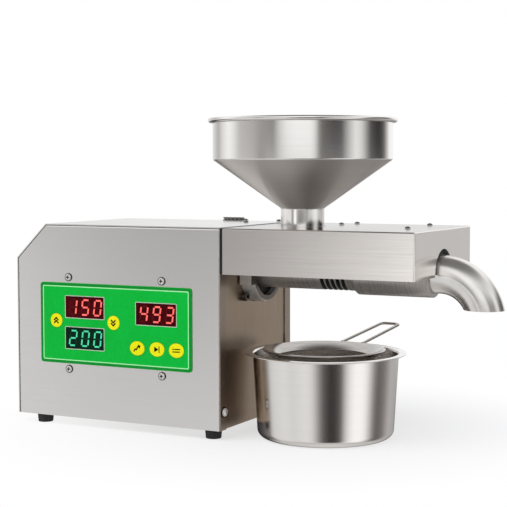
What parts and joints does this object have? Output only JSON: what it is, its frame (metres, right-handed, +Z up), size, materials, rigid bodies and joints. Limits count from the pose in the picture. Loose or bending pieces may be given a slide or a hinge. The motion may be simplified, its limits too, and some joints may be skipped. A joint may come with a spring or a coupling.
{
  "type": "screw oil press",
  "caption": "Table-top screw oil press: steel housing with control panel, press head with hopper and outlet elbow, and an oil pot with a strainer.",
  "frame": {"origin": "centre of the whole press's footprint, on the surface that it stands on", "axes": "+X from the housing towards the outlet elbow, +Y to the rear, +Z up"},
  "size_m": [0.5023, 0.2426, 0.3162],
  "materials": {
    "brushed_sheet": "brushed stainless sheet",
    "polished_steel": "polished stainless steel",
    "turned_steel": "turned stainless steel",
    "black_oxide": "black oxide steel",
    "cast_alloy": "cast aluminium alloy",
    "bronze": "plain bronze",
    "motor_iron": "laminated iron with copper windings",
    "black_rubber": "matte rubber",
    "black_plastic": "moulded plastic",
    "green_overlay": "printed film overlay",
    "yellow_keys": "embossed film keys",
    "red_display": "red tinted display window",
    "green_display": "green tinted display window",
    "circuit_board": "epoxy board"
  },
  "bodies": {
    "housing": {"housing_front": "brushed_sheet", "housing_rear": "brushed_sheet", "housing_wrap": "brushed_sheet", "base_tray": "brushed_sheet", "end_plate": "brushed_sheet", "foot_front_right": "black_rubber", "foot_rear_right": "black_rubber", "foot_front_left": "black_rubber", "foot_rear_left": "black_rubber", "vent_insert": "black_rubber", "control_panel": "green_overlay", "display_upper": "red_display", "display_lower": "green_display", "display_right": "red_display", "control_board": "circuit_board", "panel_screw_lower_left": "turned_steel", "panel_screw_upper_left": "turned_steel", "panel_screw_lower_right": "turned_steel", "panel_screw_upper_right": "turned_steel", "mains_inlet": "black_plastic", "switch_frame": "black_plastic", "power_board": "circuit_board", "motor_case": "black_oxide", "motor_end_bell": "cast_alloy", "gearbox_case": "cast_alloy", "gearbox_lid": "cast_alloy", "output_bearing_left": "bronze", "output_bearing_right": "bronze", "layshaft_bearing_left": "bronze", "layshaft_bearing_right": "bronze", "barrel_seat": "turned_steel", "screw_bushing": "bronze", "lock_screw": "black_oxide", "press_barrel": "turned_steel", "choke_ring": "turned_steel", "feed_collar": "turned_steel", "heater_sleeve": "turned_steel", "heater_block": "cast_alloy", "temperature_probe": "bronze", "press_cover": "brushed_sheet", "cover_rail": "brushed_sheet", "tube_saddle": "brushed_sheet"},
    "motor_rotor": {"motor_armature": "motor_iron", "motor_fan": "black_plastic"},
    "layshaft_set": {"layshaft": "turned_steel", "layshaft_gear": "turned_steel"},
    "screw_set": {"press_screw": "turned_steel", "output_shaft": "turned_steel", "output_gear": "turned_steel"},
    "up_key": {"key_up": "yellow_keys"},
    "down_key": {"key_down": "yellow_keys"},
    "reverse_key": {"key_reverse": "yellow_keys"},
    "start_key": {"key_start": "yellow_keys"},
    "heat_key": {"key_heat": "yellow_keys"},
    "power_rocker": {"switch_rocker": "black_plastic"},
    "hopper_body": {"hopper": "polished_steel"},
    "elbow_body": {"outlet_elbow": "polished_steel"},
    "pot_body": {"oil_pot": "polished_steel"},
    "strainer_body": {"strainer_frame": "polished_steel", "strainer_mesh": "polished_steel"}
  },
  "joints": [
    {"name": "motor_spin", "type": "hinge", "parent": "housing", "child": "motor_rotor", "pos_m": [-0.10922, -0.02636, 0.0903], "axis": [1, 0, 0], "continuous": true},
    {"name": "layshaft_spin", "type": "hinge", "parent": "housing", "child": "layshaft_set", "pos_m": [-0.04922, -0.02636, 0.1228], "axis": [1, 0, 0], "continuous": true},
    {"name": "screw_spin", "type": "hinge", "parent": "housing", "child": "screw_set", "pos_m": [-0.00922, -0.02636, 0.1648], "axis": [1, 0, 0], "continuous": true},
    {"name": "up_press", "type": "slide", "parent": "housing", "child": "up_key", "axis": [0, 1, 0], "range_m": [0, 0.0005], "stiffness_N_per_m": 800, "springref_m": -0.001},
    {"name": "down_press", "type": "slide", "parent": "housing", "child": "down_key", "axis": [0, 1, 0], "range_m": [0, 0.0005], "stiffness_N_per_m": 800, "springref_m": -0.001},
    {"name": "reverse_press", "type": "slide", "parent": "housing", "child": "reverse_key", "axis": [0, 1, 0], "range_m": [0, 0.0005], "stiffness_N_per_m": 800, "springref_m": -0.001},
    {"name": "start_press", "type": "slide", "parent": "housing", "child": "start_key", "axis": [0, 1, 0], "range_m": [0, 0.0005], "stiffness_N_per_m": 800, "springref_m": -0.001},
    {"name": "heat_press", "type": "slide", "parent": "housing", "child": "heat_key", "axis": [0, 1, 0], "range_m": [0, 0.0005], "stiffness_N_per_m": 800, "springref_m": -0.001},
    {"name": "rocker_tilt", "type": "hinge", "parent": "housing", "child": "power_rocker", "pos_m": [-0.17422, 0.05394, 0.049], "axis": [-1, 0, 0], "range_deg": [0, 18]},
    {"name": "hopper_lift", "type": "slide", "parent": "housing", "child": "hopper_body", "axis": [0, 0, 1], "range_m": [0, 0.06]},
    {"name": "elbow_pull", "type": "slide", "parent": "housing", "child": "elbow_body", "axis": [1, 0, 0], "range_m": [0, 0.03]},
    {"name": "pot_slide", "type": "slide", "parent": "housing", "child": "pot_body", "axis": [0, -1, 0], "range_m": [0, 0.2]},
    {"name": "strainer_lift", "type": "slide", "parent": "pot_body", "child": "strainer_body", "axis": [0, 0, 1], "range_m": [0, 0.04]}
  ],
  "couplings": [
    {"joint": "layshaft_spin", "follows": "motor_spin", "ratio": -0.3},
    {"joint": "screw_spin", "follows": "motor_spin", "ratio": 0.12}
  ]
}
